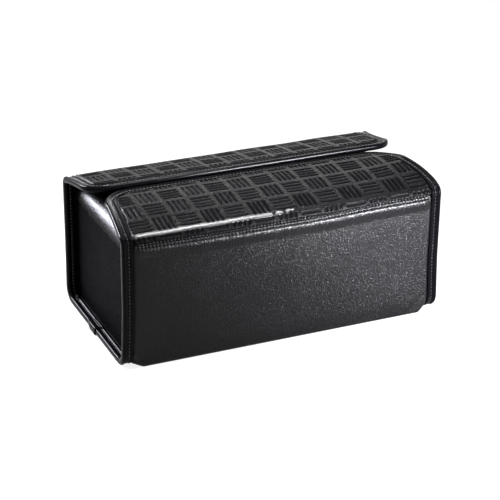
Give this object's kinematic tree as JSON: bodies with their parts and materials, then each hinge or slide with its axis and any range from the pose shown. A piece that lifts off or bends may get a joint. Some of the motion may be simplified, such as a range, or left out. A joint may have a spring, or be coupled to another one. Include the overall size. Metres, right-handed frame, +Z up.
{
  "type": "leather tissue case",
  "caption": "Black leather case for a box of tissues: a bound leather shell with two hinged top flaps that meet at a slit and soft tongues that tuck in at the ends.",
  "frame": {"origin": "middle of the base, on the surface that the case stands on", "axes": "+Z up, -Y towards the front panel, +X along the case towards its right end"},
  "size_m": [0.2718, 0.137, 0.118],
  "materials": {
    "smooth_leather": "black pebble-grain leather with a soft satin shine",
    "embossed_leather": "black leather embossed with a geometric pattern",
    "binding_tape": "smooth glossy black binding tape with a stitched row",
    "lining_cloth": "matte black lining cloth",
    "grey_board": "plain grey compressed-paper board"
  },
  "bodies": {
    "case": {"outer_wrap": "smooth_leather", "front_fold_strip": "embossed_leather", "back_fold_strip": "embossed_leather", "front_board": "grey_board", "back_board": "grey_board", "base_board": "grey_board", "case_lining": "lining_cloth", "left_end_leather": "smooth_leather", "right_end_leather": "smooth_leather", "left_end_board": "grey_board", "right_end_board": "grey_board", "left_end_lining": "lining_cloth", "right_end_lining": "lining_cloth", "left_front_binding": "binding_tape", "left_back_binding": "binding_tape", "right_front_binding": "binding_tape", "right_back_binding": "binding_tape"},
    "front_flap": {"front_flap_leather": "embossed_leather", "front_flap_board": "grey_board", "front_flap_lining": "lining_cloth", "front_flap_binding": "binding_tape"},
    "back_flap": {"back_flap_leather": "embossed_leather", "back_flap_board": "grey_board", "back_flap_lining": "lining_cloth", "back_flap_binding": "binding_tape"},
    "left_tuck": {"left_tuck_leather": "smooth_leather", "left_tuck_lining": "lining_cloth"},
    "right_tuck": {"right_tuck_leather": "smooth_leather", "right_tuck_lining": "lining_cloth"}
  },
  "joints": [
    {"name": "front_flap_hinge", "type": "hinge", "parent": "case", "child": "front_flap", "pos_m": [0, -0.0623, 0.1098], "axis": [1, 0, 0], "range_deg": [0, 170]},
    {"name": "back_flap_hinge", "type": "hinge", "parent": "case", "child": "back_flap", "pos_m": [0, 0.0623, 0.1098], "axis": [-1, 0, 0], "range_deg": [0, 170]},
    {"name": "left_tuck_hinge", "type": "hinge", "parent": "case", "child": "left_tuck", "pos_m": [-0.1216, 0, 0.091], "axis": [0, 1, 0], "range_deg": [0, 90]},
    {"name": "right_tuck_hinge", "type": "hinge", "parent": "case", "child": "right_tuck", "pos_m": [0.1216, 0, 0.091], "axis": [0, -1, 0], "range_deg": [0, 90]}
  ]
}
